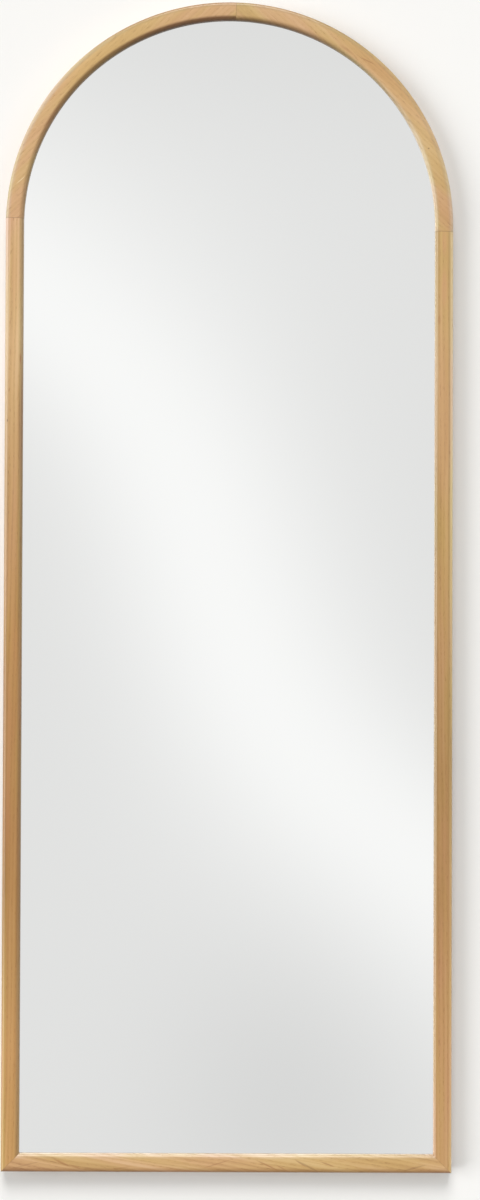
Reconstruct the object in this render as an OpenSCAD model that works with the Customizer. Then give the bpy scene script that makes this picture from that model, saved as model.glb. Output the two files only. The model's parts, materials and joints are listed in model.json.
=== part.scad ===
// Arched full-length mirror in a slim oak frame, hung flat on a wall by two ring hangers.
// Seen from the front: +X is right, +Z is up, the glass faces -Y and the wall is the plane y = 0.
// The origin is on the wall, midway between the two hooks that carry the rings.

/* [Frame] */
// Overall width of the frame
frame_w = 653; // [450:1:900]
// Overall height, from the bottom edge to the crown of the arch
frame_h = 1703; // [1400:1:2100]
// Width of the frame as seen from the front
face_w = 26.5; // [22:0.5:40]
// Depth of the oak, front to back
frame_d = 24; // [22:0.5:40]
// Thickness of the lip in front of the glass
lip_t = 7; // [5:0.5:9]
// Width of the rebate that takes the glass
glass_rebate = 9; // [6:0.5:9.5]
// Thickness of the oak left outside the backing board
back_wall = 6; // [4:0.5:7]
// Radius of the outer front arris
outer_r = 5; // [1:0.25:6]
// Radius of the inner front arris
inner_r = 5.5; // [1:0.25:6]
// Radius of the outer back arris
back_r = 1; // [0.5:0.25:2]
// Angle by which the arch's joints sit clockwise of the spring line and the crown
arch_turn = 1.6; // [0.4:0.2:4]

/* [Joinery] */
// Length of the loose tenons in the arch's joints
tenon_l = 36; // [24:1:50]
// Width of a loose tenon, front to back
tenon_w = 10; // [8:0.5:11]
// Thickness of a loose tenon
tenon_t = 6; // [4:0.5:7]
// Clearance round a loose tenon in its mortise
tenon_gap = 0.1; // [0.05:0.05:0.3]
// Length of a corner key along each outer face
key_leg = 20; // [12:1:26]
// Thickness of a corner key
key_t = 3; // [2:0.5:4]

/* [Glass and backing] */
// Thickness of the silvered glass
glass_t = 4; // [3:0.5:5]
// Gap round the glass at the sides and the crown
glass_gap = 1; // [0.5:0.25:2]
// Height of the blocks that the glass stands on
block_h = 2; // [1:0.25:3]
// Length of a glass block
block_l = 60; // [30:5:100]
// Thickness of the safety film on the glass's back
film_t = 0.2; // [0.1:0.05:0.4]
// How far the film and the foam stop short of the glass's edge
film_inset = 1; // [0.5:0.5:4]
// Thickness of the backing board
board_t = 5; // [3:0.5:6]
// Gap round the backing board in its rebate
board_gap = 0.5; // [0.25:0.25:1]

/* [Board screws] */
// Diameter of a board screw's shank
screw_d = 3; // [2.5:0.25:3.5]
// Length of a board screw
screw_l = 14; // [10:1:16]
// Diameter of a board screw's countersunk head
screw_head_d = 6; // [5:0.25:7]
// Number of screws up each stile
stile_screws = 6; // [2:1:10]
// Number of screws round each half of the arch
arch_screws = 3; // [1:1:6]
// Number of screws along the bottom rail
rail_screws = 3; // [1:1:4]
// Distance from the frame's outer edges to the nearest rail screw
rail_screw_end = 125; // [60:5:200]
// Distance from the bottom edge, and from the hangers, to the nearest stile screw
screw_end = 60; // [40:5:120]
// Radial clearance round every screw
screw_gap = 0.1; // [0.05:0.05:0.3]

/* [Hangers] */
// Distance from the arch's spring line down to the rings' pivots
hanger_drop = 75; // [60:5:150]
// Length of a hanger strap below its pivot
strap_l = 48; // [44:1:60]
// Width of a hanger strap
strap_w = 11; // [9:0.5:12.5]
// Thickness of a hanger strap
strap_t = 1.2; // [0.8:0.1:1.5]
// Distance from the pivot to the strap's first screw
strap_screw_1 = 24; // [22:1:26]
// Distance between the strap's two screws
strap_screw_pitch = 16; // [10:1:18]
// Diameter of a hanger screw's shank
hanger_screw_d = 3.5; // [3:0.25:4]
// Length of a hanger screw under its head
hanger_screw_l = 18; // [14:1:20]
// Diameter of a hanger screw's pan head
hanger_head_d = 7; // [6:0.25:8]
// Height of a hanger screw's pan head
hanger_head_h = 2; // [1.5:0.25:2.5]
// Diameter of the ring's wire
wire_d = 2.6; // [2:0.1:3]
// Width of the ring, between the middles of its wire
ring_w = 18; // [17:0.5:24]
// Length of the ring's straight sides
ring_leg = 5; // [4:0.5:7]
// Bend radius at the ends of the ring's pivot bar
ring_bend = 2.5; // [2:0.1:3]
// Least distance from a ring to the frame's outer edge
ring_edge = 0.5; // [0.5:0.25:2]
// Radial running clearance of the ring's bar in the strap's eye
pivot_gap = 0.05; // [0.02:0.01:0.1]
// Angle by which a hanging ring lies off its strap
ring_tilt = 2; // [2:0.5:6]

/* [Wall bumpers] */
// Height of a bumper, which is the gap between the frame and the wall
bumper_h = 6; // [6:0.5:9]
// Diameter of a bumper where it sticks to the frame
bumper_d = 12; // [10:0.5:14]
// Radius of the bumper's rounded edge
bumper_r = 2; // [1:0.25:3]
// Distance from the frame's outer edges to the middle of a bumper
bumper_inset = 12; // [8:0.5:16]
// Distance from the spring line down to the upper bumpers
bumper_drop = 34; // [24:1:34]

/* [Hidden] */

$fn = 64;
// Reach of a cutting shape past the face that it cuts
over = 1;

// Across the frame, measured inwards from its outer edge
outer_half = frame_w / 2;
core_w = face_w - glass_rebate;
ledge_mid = (back_wall + core_w) / 2;
mid_radius = outer_half - core_w / 2;
screw_x = outer_half - ledge_mid;
glass_half = outer_half - core_w - glass_gap;
board_half = outer_half - back_wall - board_gap;

// Front to back
back_y = -bumper_h;
front_y = back_y - frame_d;
glass_y = front_y + lip_t;
film_y = glass_y + glass_t;
foam_y = film_y + film_t;
board_y = back_y - board_t;
core_mid_y = (front_y + board_y) / 2;

// Up and down, from the hooks at z = 0
wire_r = wire_d / 2;
eye_in_r = wire_r + pivot_gap;
eye_r = eye_in_r + strap_t;
pivot_y = back_y + eye_r;
pivot_z = -(ring_leg + ring_w / 2 - wire_r);
spring_z = pivot_z + hanger_drop;
bottom_z = spring_z + outer_half - frame_h;
glass_z = bottom_z + core_w + block_h;
film_z = glass_z + film_inset;
board_z = bottom_z + back_wall + board_gap;

// Round the arch, as angles from its right-hand end of the spring line
left_joint = 180 - arch_turn;
crown_joint = 90 - arch_turn;
right_joint = -arch_turn;

// The hangers sit over the ledge, or further in where the rings need the room
hanger_x = outer_half - max(ledge_mid, ring_w / 2 + wire_r + ring_edge);

oak = "#c69a66";
pale_oak = "#d2a878";
steel = "#b9bcc0";

// The oak's cross-section: x runs inwards from the outer edge, y from the front to the back
module section() {
    difference() {
        square([face_w, frame_d]);
        translate([core_w, lip_t])
            square([glass_rebate + over, frame_d]);
        translate([back_wall, frame_d - board_t])
            square([face_w, board_t + over]);
        arris(outer_r);
        translate([face_w, 0])
            mirror([1, 0])
                arris(inner_r);
        translate([0, frame_d])
            mirror([0, 1])
                arris(back_r);
    }
}

// What a rounded arris takes off the corner at the origin
module arris(r) {
    difference() {
        translate([-over, -over])
            square(r + over);
        translate([r, r])
            circle(r);
    }
}

// A straight length of the section on the left side, from z = z_from up
module left_length(z_from, length) {
    translate([-outer_half, front_y, z_from])
        linear_extrude(length)
            section();
}

// An arc of the section round the arch's centre, anticlockwise from a start angle
module arc_length(start, sweep) {
    translate([0, front_y, spring_z])
        rotate([90, 0, 0])
            rotate([0, 0, start])
                rotate_extrude(angle = sweep, $fn = 180)
                    translate([outer_half, 0])
                        rotate([0, 0, 180])
                            section();
}

// Moves a shape drawn round the origin to the middle of the oak's core at an angle round the arch,
// with its own Z along the frame
module on_arch(angle) {
    translate([0, core_mid_y, spring_z])
        rotate([0, -angle, 0])
            translate([mid_radius, 0, 0])
                children();
}

// The space on one side of a joint's radial cut: 1 is anticlockwise of it, -1 clockwise
module past_joint(angle, side) {
    size = 2 * face_w;
    translate([0, front_y - over, spring_z])
        rotate([0, -angle, 0])
            translate([outer_half - size, 0, side > 0 ? 0 : -size])
                cube([2 * size, frame_d + 2 * over, size]);
}

// A loose tenon, lengthwise along Z, grown all round by a gap
module tenon(gap = 0) {
    straight = tenon_w - tenon_t;
    translate([0, 0, -tenon_l / 2 - gap])
        linear_extrude(tenon_l + 2 * gap) {
            square([tenon_t + 2 * gap, straight], center = true);
            for (side = [-1, 1])
                translate([0, side * straight / 2])
                    circle(tenon_t / 2 + gap);
        }
}

// A triangular key across the left-hand mitre, grown by a reach past its outer faces
module corner_key(reach = 0) {
    translate([-outer_half, core_mid_y + key_t / 2, bottom_z])
        rotate([90, 0, 0])
            linear_extrude(key_t)
                polygon([
                    [-reach, -reach],
                    [key_leg + reach, -reach],
                    [-reach, key_leg + reach]
                ]);
}

// The space on one side of the left-hand mitre line: 1 is above it, -1 below
module past_mitre(side) {
    size = 2 * face_w;
    translate([-outer_half, front_y - over, bottom_z])
        rotate([0, -45, 0])
            translate([-size, 0, side > 0 ? 0 : -size])
                cube([3 * size, frame_d + 2 * over, size]);
}

// The place of one screw in an even row between two ends
function row_point(i, n, low, high) = n < 2 ? (low + high) / 2 : low + i * (high - low) / (n - 1);

// Where the rows of board screws end
screw_low = bottom_z + screw_end;
screw_high = pivot_z - strap_l - screw_end;
rail_screw_x = outer_half - rail_screw_end;

// Every board screw as [x, z], over the middle of the ledge that the board lies on
screw_spots = [
    for (side = [-1, 1], i = [0 : stile_screws - 1])
        [side * screw_x, row_point(i, stile_screws, screw_low, screw_high)],
    for (half = [0, 1], i = [0 : arch_screws - 1])
        let (angle = 90 * half + 90 * (i + 0.5) / arch_screws)
            [screw_x * cos(angle), spring_z + screw_x * sin(angle)],
    for (i = [0 : rail_screws - 1])
        [row_point(i, rail_screws, -rail_screw_x, rail_screw_x), bottom_z + ledge_mid]
];

// The hanger screws, two in each strap
strap_spots = [
    for (side = [-1, 1], drop = [strap_screw_1, strap_screw_1 + strap_screw_pitch])
        [side * hanger_x, pivot_z - drop]
];

// The bumpers, two at the foot and two just above the hangers
bumper_spots = [
    for (side = [-1, 1], z = [bottom_z + bumper_inset, spring_z - bumper_drop])
        [side * (outer_half - bumper_inset), z]
];

// Stands children at each spot of a list, with their own Z pointing at the wall
module at_spots(spots, y) {
    for (spot = spots)
        translate([spot[0], y, spot[1]])
            rotate([-90, 0, 0])
                children();
}

// A wood screw pointing into the oak, its head's top at z = 0, grown by a gap and a reach above
module countersunk_screw(gap = 0, reach = 0) {
    shank = screw_d / 2 + gap;
    head = screw_head_d / 2 + gap;
    rotate_extrude()
        polygon([
            [0, -screw_l - gap],
            [shank, shank - screw_l - gap],
            [shank, shank - head],
            [head, 0],
            [head, reach],
            [0, reach]
        ]);
}

// A pan-head wood screw, the underside of its head at z = 0
module pan_screw() {
    shank = hanger_screw_d / 2;
    head = hanger_head_d / 2;
    dome_r = (head * head + hanger_head_h * hanger_head_h) / (2 * hanger_head_h);
    rotate_extrude()
        polygon([[0, -hanger_screw_l], [shank, shank - hanger_screw_l], [shank, 0], [0, 0]]);
    rotate_extrude()
        intersection() {
            square([head, hanger_head_h]);
            translate([0, hanger_head_h - dome_r])
                circle(dome_r);
        }
}

// The pilot hole of a pan-head screw
module pan_pilot() {
    pilot_r = hanger_screw_d / 2 + screw_gap;
    translate([0, 0, -hanger_screw_l - screw_gap])
        cylinder(r = pilot_r, h = hanger_screw_l + screw_gap + over);
}

// The cross cut in a screw's head, down from z = 0
module cross_recess(width) {
    slot = width / 5;
    depth = width / 4;
    for (turn = [0, 90])
        rotate([0, 0, turn])
            translate([-width / 2, -slot / 2, -depth])
                cube([width, slot, depth + over]);
}

// All the holes that the screws need in the oak and the board
module screw_holes() {
    at_spots(screw_spots, back_y)
        countersunk_screw(screw_gap, over);
    at_spots(strap_spots, back_y + strap_t)
        pan_pilot();
}

// The arched outline shared by the glass, the film, the foam and the board
module arched_sheet(half_w, z_from, y_from, thickness) {
    translate([0, y_from + thickness, 0])
        rotate([90, 0, 0])
            linear_extrude(thickness) {
                translate([-half_w, z_from])
                    square([2 * half_w, spring_z - z_from]);
                translate([0, spring_z])
                    intersection() {
                        circle(half_w, $fn = 180);
                        translate([-half_w, 0])
                            square([2 * half_w, half_w]);
                    }
            }
}

// A stile on the left side, mitred at its foot and long enough to be cut to its joint
module stile_blank() {
    spare = outer_half * sin(arch_turn) + over;
    difference() {
        left_length(bottom_z, spring_z - bottom_z + spare);
        past_mitre(-1);
        corner_key(over);
    }
}

module left_stile() {
    color(oak)
        difference() {
            stile_blank();
            past_joint(left_joint, -1);
            on_arch(left_joint)
                tenon(tenon_gap);
            screw_holes();
        }
}

module right_stile() {
    color(oak)
        difference() {
            mirror([1, 0, 0])
                stile_blank();
            past_joint(right_joint, 1);
            on_arch(right_joint)
                tenon(tenon_gap);
            screw_holes();
        }
}

module bottom_rail() {
    color(pale_oak)
        difference() {
            translate([-outer_half, front_y, bottom_z])
                rotate([90, 0, 90])
                    linear_extrude(frame_w)
                        mirror([1, -1])
                            section();
            for (flip = [0, 1])
                mirror([flip, 0, 0]) {
                    past_mitre(1);
                    corner_key(over);
                }
            screw_holes();
        }
}

// A quarter of the arch, anticlockwise from one joint to the next
module quarter_arch(start) {
    difference() {
        arc_length(start, 90);
        for (angle = [start, start + 90])
            on_arch(angle)
                tenon(tenon_gap);
        screw_holes();
    }
}

module left_arch() {
    color(pale_oak)
        quarter_arch(crown_joint);
}

module right_arch() {
    color(pale_oak)
        quarter_arch(right_joint);
}

module left_spring_tenon() {
    color("tan")
        on_arch(left_joint)
            tenon();
}

module crown_tenon() {
    color("tan")
        on_arch(crown_joint)
            tenon();
}

module right_spring_tenon() {
    color("tan")
        on_arch(right_joint)
            tenon();
}

module left_corner_key() {
    color("peru")
        corner_key();
}

module right_corner_key() {
    color("peru")
        mirror([1, 0, 0])
            corner_key();
}

module mirror_glass() {
    color("#dfe3e6")
        arched_sheet(glass_half, glass_z, glass_y, glass_t);
}

module glass_blocks() {
    color("#33302c")
        for (side = [-1, 1])
            translate([side * glass_half / 2 - block_l / 2, glass_y, bottom_z + core_w])
                cube([block_l, glass_t, block_h]);
}

module safety_film() {
    color("#a9b2b8")
        arched_sheet(glass_half - film_inset, film_z, film_y, film_t);
}

module foam_sheet() {
    color("#f2f2ee")
        arched_sheet(glass_half - film_inset, film_z, foam_y, board_y - foam_y);
}

module backing_board() {
    color("#a9835a")
        difference() {
            arched_sheet(board_half, board_z, board_y, board_t);
            screw_holes();
        }
}

module board_screws() {
    color(steel)
        at_spots(screw_spots, back_y)
            difference() {
                countersunk_screw();
                cross_recess(screw_head_d * 0.6);
            }
}

// A strap with a rolled eye at its top, on the left side
module hanger_strap() {
    lap = eye_r / 3;
    difference() {
        union() {
            translate([-hanger_x, pivot_y, pivot_z])
                rotate([0, 90, 0])
                    cylinder(r = eye_r, h = strap_w, center = true);
            translate([-hanger_x, back_y + strap_t, pivot_z])
                rotate([90, 0, 0])
                    linear_extrude(strap_t) {
                        translate([-strap_w / 2, strap_w / 2 - strap_l])
                            square([strap_w, strap_l - strap_w / 2 - lap]);
                        translate([0, strap_w / 2 - strap_l])
                            circle(strap_w / 2);
                    }
        }
        translate([-hanger_x, pivot_y, pivot_z])
            rotate([0, 90, 0])
                cylinder(r = eye_in_r, h = strap_w + 2 * over, center = true);
        at_spots(strap_spots, back_y + strap_t)
            pan_pilot();
    }
}

module left_hanger_strap() {
    color(steel)
        hanger_strap();
}

module right_hanger_strap() {
    color(steel)
        mirror([1, 0, 0])
            hanger_strap();
}

module hanger_screws() {
    color(steel)
        at_spots(strap_spots, back_y + strap_t)
            difference() {
                pan_screw();
                translate([0, 0, hanger_head_h])
                    cross_recess(hanger_head_d * 0.55);
            }
}

// A bend of the ring's wire, from its centre, in the ring's own plane
module wire_bend(radius, start, sweep) {
    rotate([90, 0, 0])
        rotate([0, 0, start])
            rotate_extrude(angle = sweep)
                translate([radius, 0])
                    circle(wire_r, $fn = 32);
}

// A ring hanging down from its pivot bar, tilted off the strap, on the left side
module hanger_ring() {
    half = ring_w / 2;
    translate([-hanger_x, pivot_y, pivot_z])
        rotate([ring_tilt, 0, 0]) {
            rotate([0, 90, 0])
                cylinder(r = wire_r, h = ring_w - 2 * ring_bend, center = true, $fn = 32);
            for (side = [0, 1])
                mirror([side, 0, 0]) {
                    translate([half - ring_bend, 0, -ring_bend])
                        wire_bend(ring_bend, 0, 90);
                    translate([half, 0, -ring_leg])
                        cylinder(r = wire_r, h = ring_leg - ring_bend, $fn = 32);
                }
            translate([0, 0, -ring_leg])
                wire_bend(half, 180, 180);
        }
}

module left_hanger_ring() {
    color(steel)
        hanger_ring();
}

module right_hanger_ring() {
    color(steel)
        mirror([1, 0, 0])
            hanger_ring();
}

module wall_bumpers() {
    base = bumper_d / 2;
    color("#3c3a38")
        at_spots(bumper_spots, back_y)
            rotate_extrude() {
                square([base, bumper_h - bumper_r]);
                square([base - bumper_r, bumper_h]);
                translate([base - bumper_r, bumper_h - bumper_r])
                    circle(bumper_r);
            }
}

left_stile();
right_stile();
bottom_rail();
left_arch();
right_arch();
left_spring_tenon();
crown_tenon();
right_spring_tenon();
left_corner_key();
right_corner_key();
mirror_glass();
glass_blocks();
safety_film();
foam_sheet();
backing_board();
board_screws();
left_hanger_strap();
right_hanger_strap();
hanger_screws();
left_hanger_ring();
right_hanger_ring();
wall_bumpers();
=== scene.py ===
import json
import math

import bmesh
import bpy
from mathutils import Matrix, Vector


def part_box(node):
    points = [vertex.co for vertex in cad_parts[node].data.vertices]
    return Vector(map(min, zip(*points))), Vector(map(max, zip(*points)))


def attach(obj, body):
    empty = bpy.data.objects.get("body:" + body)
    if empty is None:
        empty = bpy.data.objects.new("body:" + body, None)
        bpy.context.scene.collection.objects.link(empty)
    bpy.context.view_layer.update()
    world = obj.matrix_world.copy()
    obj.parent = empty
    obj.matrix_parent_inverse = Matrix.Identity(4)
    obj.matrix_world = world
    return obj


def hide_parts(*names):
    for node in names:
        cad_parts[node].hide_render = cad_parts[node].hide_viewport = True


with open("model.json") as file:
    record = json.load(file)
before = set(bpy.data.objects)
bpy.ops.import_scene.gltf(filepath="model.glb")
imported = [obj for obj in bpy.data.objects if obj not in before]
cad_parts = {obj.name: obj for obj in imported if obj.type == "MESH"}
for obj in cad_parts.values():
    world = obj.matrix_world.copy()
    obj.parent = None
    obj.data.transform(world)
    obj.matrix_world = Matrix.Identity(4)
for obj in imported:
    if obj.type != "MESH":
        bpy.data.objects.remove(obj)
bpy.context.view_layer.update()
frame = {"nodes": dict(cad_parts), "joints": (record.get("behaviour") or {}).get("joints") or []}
cadNodes = frame["nodes"]
joints = {joint["child"]: joint for joint in frame["joints"]}
mm = 0.001
print("frame loaded with", len(cadNodes), "nodes")

# Places read off the frame, in metres
railLow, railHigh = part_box("bottom_rail")
boardLow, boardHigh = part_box("backing_board")
keyLow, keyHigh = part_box("left_corner_key")
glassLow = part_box("mirror_glass")[0]
outerHalf = railHigh.x
frontY, backY = railLow.y, railHigh.y
bottomZ = railLow.z
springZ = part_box("left_arch")[1].z - outerHalf
faceW = railHigh.z - bottomZ
lipT = glassLow.y - frontY
boardT = boardHigh.y - boardLow.y


# Node helpers

class Signal:  # a node's output, which can be added to, multiplied and so on
    def __init__(self, socket):
        self.socket = socket
        self.tree = socket.id_data

    def __add__(self, other):
        return calc("ADD", self, other)

    def __sub__(self, other):
        return calc("SUBTRACT", self, other)

    def __rsub__(self, other):
        return calc("SUBTRACT", other, self)

    def __mul__(self, other):
        return calc("MULTIPLY", self, other)

    def __truediv__(self, other):
        return calc("DIVIDE", self, other)


def node(tree, kind, inputs=None, **settings):  # the inputs are signals or plain values
    made = tree.nodes.new(kind)
    for name, value in settings.items():
        setattr(made, name, value)
    for key, value in (inputs or {}).items():
        if isinstance(value, Signal):
            tree.links.new(value.socket, made.inputs[key])
        else:
            made.inputs[key].default_value = value
    return made


def signal(tree, kind, inputs=None, output=0, **settings):
    return Signal(node(tree, kind, inputs, **settings).outputs[output])


def treeOf(values):
    return next(value.tree for value in values if isinstance(value, Signal))


def calc(operation, *values):
    return signal(treeOf(values), "ShaderNodeMath", dict(enumerate(values)), operation=operation)


def ease(value, low, high, start=0.0, end=1.0):  # a smooth step between two values
    inputs = {"Value": value, "From Min": low, "From Max": high, "To Min": start, "To Max": end}
    return signal(value.tree, "ShaderNodeMapRange", inputs, interpolation_type="SMOOTHSTEP")


def vectorOf(*parts):
    return signal(treeOf(parts), "ShaderNodeCombineXYZ", dict(enumerate(parts)))


def partsOf(vector):
    return [Signal(socket) for socket in node(vector.tree, "ShaderNodeSeparateXYZ", {0: vector}).outputs]


def vectorCalc(operation, vector, other=(0, 0, 0), key=1, output=0):
    return signal(vector.tree, "ShaderNodeVectorMath", {0: vector, key: other}, output, operation=operation)


def addVectors(first, *others):
    for other in others:
        first = vectorCalc("ADD", first, other)
    return first


def scaleVector(vector, factor):
    return vectorCalc("SCALE", vector, factor, "Scale")


def lengthOf(vector):
    return vectorCalc("LENGTH", vector, output="Value")


def mapped(vector, **change):
    return signal(vector.tree, "ShaderNodeMapping", {"Vector": vector, **change})


# Geometry helpers

smoothAngle = 32  # degrees; steeper edges stay sharp


def plainMesh(name, points, edges, faces):
    mesh = bpy.data.meshes.new(name)
    mesh.from_pydata(points, edges, faces)
    return mesh


def editMesh(source, target, change):  # runs a bmesh change on one mesh and writes it to another
    shell = bmesh.new()
    shell.from_mesh(source)
    change(shell)
    shell.to_mesh(target)
    shell.free()


def addObject(name, data):
    made = bpy.data.objects.new(name, data)
    bpy.context.scene.collection.objects.link(made)
    return made


def settledMesh(piece):  # what the modifiers make of a piece, as a plain mesh
    graph = bpy.context.evaluated_depsgraph_get()
    return bpy.data.meshes.new_from_object(piece.evaluated_get(graph))


def smoothMesh(mesh):
    mesh.shade_smooth()
    mesh.set_sharp_from_angle(angle=math.radians(smoothAngle))


def loopMesh(name, points):  # a closed line through points
    count = len(points)
    return plainMesh(name, points, [(i, (i + 1) % count) for i in range(count)], [])


def geometryTree(name, sizes):  # a tree with its named inputs, and those inputs as signals
    tree = bpy.data.node_groups.new(name, "GeometryNodeTree")
    tree.is_modifier = True
    tree.interface.new_socket("Geometry", in_out="OUTPUT", socket_type="NodeSocketGeometry")
    sizes = {"Geometry": "Geometry", **sizes}
    for label, kind in sizes.items():
        tree.interface.new_socket(label, in_out="INPUT", socket_type="NodeSocket" + kind)
    given = tree.nodes.new("NodeGroupInput").outputs
    return tree, {label: Signal(given[label]) for label in sizes}


def endTree(tree, geometry, material):
    real = signal(tree, "GeometryNodeRealizeInstances", {"Geometry": geometry})
    painted = signal(tree, "GeometryNodeSetMaterial", {"Geometry": real, "Material": material})
    node(tree, "NodeGroupOutput", {"Geometry": painted})


def growPiece(name, seedMesh, tree, values):  # runs a tree on a mesh and keeps its result
    seed = addObject(name + "Seed", seedMesh)
    modifier = seed.modifiers.new("grow", "NODES")
    modifier.node_group = tree
    for item in tree.interface.items_tree:
        if item.item_type == "SOCKET" and item.in_out == "INPUT" and item.name in values:
            modifier[item.identifier] = values[item.name]
    mesh = settledMesh(seed)
    bpy.data.objects.remove(seed)
    smoothMesh(mesh)
    return addObject(name, mesh)


# The five oak members: one section, swept straight or round the arch

oakMember = {
    "rebate": 9 * mm,
    "backWall": 6 * mm,
    "outerRadius": 5 * mm,
    "innerRadius": 5.5 * mm,
    "backRadius": 1 * mm,
    "arrisSteps": 8,
    "archTurn": 1.6,
    "archSteps": 145,
    "straightSteps": 2,
    "keyReach": 2 * mm,
    "weld": 0.001 * mm,
}


# Oak: a board's rings, pores and fibres run along its own grain

oakFinish = {
    "colours": ((0, (0.190, 0.078, 0.022)), (0.3, (0.365, 0.178, 0.054)),
                (0.6, (0.540, 0.302, 0.106)), (1.0, (0.700, 0.450, 0.205))),
    "middle": 0.60,
    "glue": (0.21, 0.105, 0.042, 1),
    "glueLine": (0.8 * mm, 0.2 * mm),
    "coolTint": (0.970, 1.015, 0.895, 1),
    "warmTint": (1.025, 0.980, 1.105, 1),
    "tintEdge": (0.36, 0.64),
    "ringGap": 6.2 * mm,
    "ringStops": ((0, 0.35), (0.12, 0.0), (0.42, 0.55), (0.78, 1.0), (1.0, 0.35)),
    "yearPull": 9 * mm,
    "sidePull": 0.7,
    "ringPull": 0.14,
    "streakPull": 0.27,
    "broadPull": 0.62,
    "fibrePull": 0.10,
    "porePull": 0.30,
    "poreEdge": (0.60, 0.70),
    "poreRing": (0.62, 0.20, 0.25, 1.0),
    "fleckEdge": (0.66, 0.74),
    "markEdge": (1.2, 0.4),
    "roughness": 0.38,
    "poreRoughness": 0.2,
    "streakRoughness": 0.12,
    "fibreRelief": 0.35,
    "bump": 0.22,
    "bumpDepth": 0.15 * mm,
    "coat": 0.3,
    "coatRoughness": 0.26,
    # where the painted edge highlight and shade change, across the face from the outer edge to the lip
    "arrisPlaces": (0.05, 0.20, 0.30, 0.72, 0.85, 1.0),
    # the sides are painted darker than the front, so that they throw less light onto the wall
    "sides": (0.82, 0.79, 0.76, 1),
}

oakNoise = {  # how fast each pattern changes across and along the grain, its detail and its shift
    "wander": ((9, 9, 2.0), 2),
    "ripple": ((60, 60, 7), 2),
    "years": ((110, 1, 1), 2),
    "streaks": ((170, 170, 5.5), 2),
    "broad": ((60, 60, 2.8), 2, (7, 3, 1)),
    "patches": ((38, 38, 4.0), 2, (3, 1, 2)),
    "fibres": ((1400, 1400, 28), 2),
    "pores": ((2000, 2000, 100), 1, (5, 2, 7)),
    "flecks": ((240, 700, 110), 1, (1, 8, 3)),
}


def materialTree(name):
    material = bpy.data.materials.new(name)
    material.use_nodes = True
    material.node_tree.nodes.clear()
    return material, material.node_tree


def objectCoords(tree):
    return signal(tree, "ShaderNodeTexCoord", output="Object")


def finishMaterial(tree, colour, roughness, metallic=0.0, **others):
    inputs = {"Base Color": colour, "Roughness": roughness, "Metallic": metallic, **others}
    shader = signal(tree, "ShaderNodeBsdfPrincipled", inputs)
    node(tree, "ShaderNodeOutputMaterial", {"Surface": shader})


def noise(vector, stretch, detail, shift=(0, 0, 0)):
    place = mapped(vector, Scale=stretch, Location=shift)
    inputs = {"Vector": place, "Scale": 1.0, "Detail": detail, "Roughness": 0.5}
    return signal(vector.tree, "ShaderNodeTexNoise", inputs, "Fac")


def ramp(value, stops):  # each stop is a place with a grey level or a colour
    made = node(value.tree, "ShaderNodeValToRGB", {"Fac": value})
    elements = made.color_ramp.elements
    while len(elements) < len(stops):
        elements.new(0.5)
    for element, (place, colour) in zip(elements, stops):
        colour = colour if isinstance(colour, tuple) else (colour, colour, colour)
        element.position = place
        element.color = (*colour, 1)
    return Signal(made.outputs["Color"])


def mixColours(amount, first, second, blend="MIX"):
    inputs = {"Factor": amount, 6: first, 7: second}
    return signal(treeOf(inputs.values()), "ShaderNodeMix", inputs, 2, data_type="RGBA", blend_type=blend)


def bumpOf(height, strength, distance):
    inputs = {"Height": height, "Strength": strength, "Distance": distance}
    return signal(height.tree, "ShaderNodeBump", inputs)


def centred(value, pull):  # a 0 to 1 pattern as a push about zero
    return (value - 0.5) * pull


def markMask(coords, oval):  # a soft oval at a place on the face
    x, z, length, width, turn = oval
    moved = mapped(coords, Location=(-x, 0, -z))
    turned = mapped(moved, Rotation=(0, math.radians(turn), 0))
    flat = vectorCalc("MULTIPLY", turned, (2 / length, 0, 2 / width))
    return ease(lengthOf(flat), *oakFinish["markEdge"])


def arrisTint(coords, along, look):  # painted highlight and shade across the rounded edges, from the face's outer edge to its lip, foot to head, with darker sides
    x, y, z = partsOf(coords)
    reach = lengthOf(vectorOf(x, 0.0, calc("MAXIMUM", z - springZ, 0.0)))
    share = calc("MINIMUM", outerHalf - reach, z - bottomZ) / faceW
    plain = (1, 1, 1)
    tint, last = None, 0
    for place, rim, shoulder, inner, lip in look["arris"]:
        tones = (rim, shoulder, plain, plain, inner, lip)
        colours = ramp(share, list(zip(oakFinish["arrisPlaces"], tones)))
        tint = colours if tint is None else mixColours(ease(along, last, place), tint, colours)
        last = place
    # the sides are painted darker than the front, so that they throw less light onto the wall
    front = ease(y, frontY + 2 * oakMember["outerRadius"], frontY + oakMember["outerRadius"])
    return mixColours(front, oakFinish["sides"], tint)


def grainPatterns(coords, look):  # the patterns of one board, by name
    turned = mapped(coords, Rotation=(0, math.radians(-look["grain"]), 0))
    lean = tuple(math.radians(angle) for angle in look["lean"]) + (0,)
    grain = mapped(turned, Rotation=lean, Location=look["pith"] + (look["seed"],))
    wander = centred(noise(grain, *oakNoise["wander"]), look["wander"])
    ripple = centred(noise(grain, *oakNoise["ripple"]), look["ripple"])
    bent = addVectors(grain, vectorOf(wander + ripple, wander * oakFinish["sidePull"], 0))
    reach = lengthOf(vectorCalc("MULTIPLY", bent, (1, 1, 0)))
    years = noise(vectorOf(reach, 0.0, 0.0), *oakNoise["years"])  # wet ones and dry ones
    ring = calc("FRACT", (reach + centred(years, oakFinish["yearPull"])) / oakFinish["ringGap"])
    patterns = {name: noise(bent, *oakNoise[name]) for name in ("streaks", "broad", "fibres", "pores")}
    patterns.update((name, noise(grain, *oakNoise[name])) for name in ("patches", "flecks"))
    patterns["rings"] = ramp(ring, oakFinish["ringStops"])
    patterns["pores"] = ease(patterns["pores"], *oakFinish["poreEdge"]) * ease(ring, *oakFinish["poreRing"])
    patterns["flecks"] = ease(patterns["flecks"], *oakFinish["fleckEdge"])
    return patterns


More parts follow.
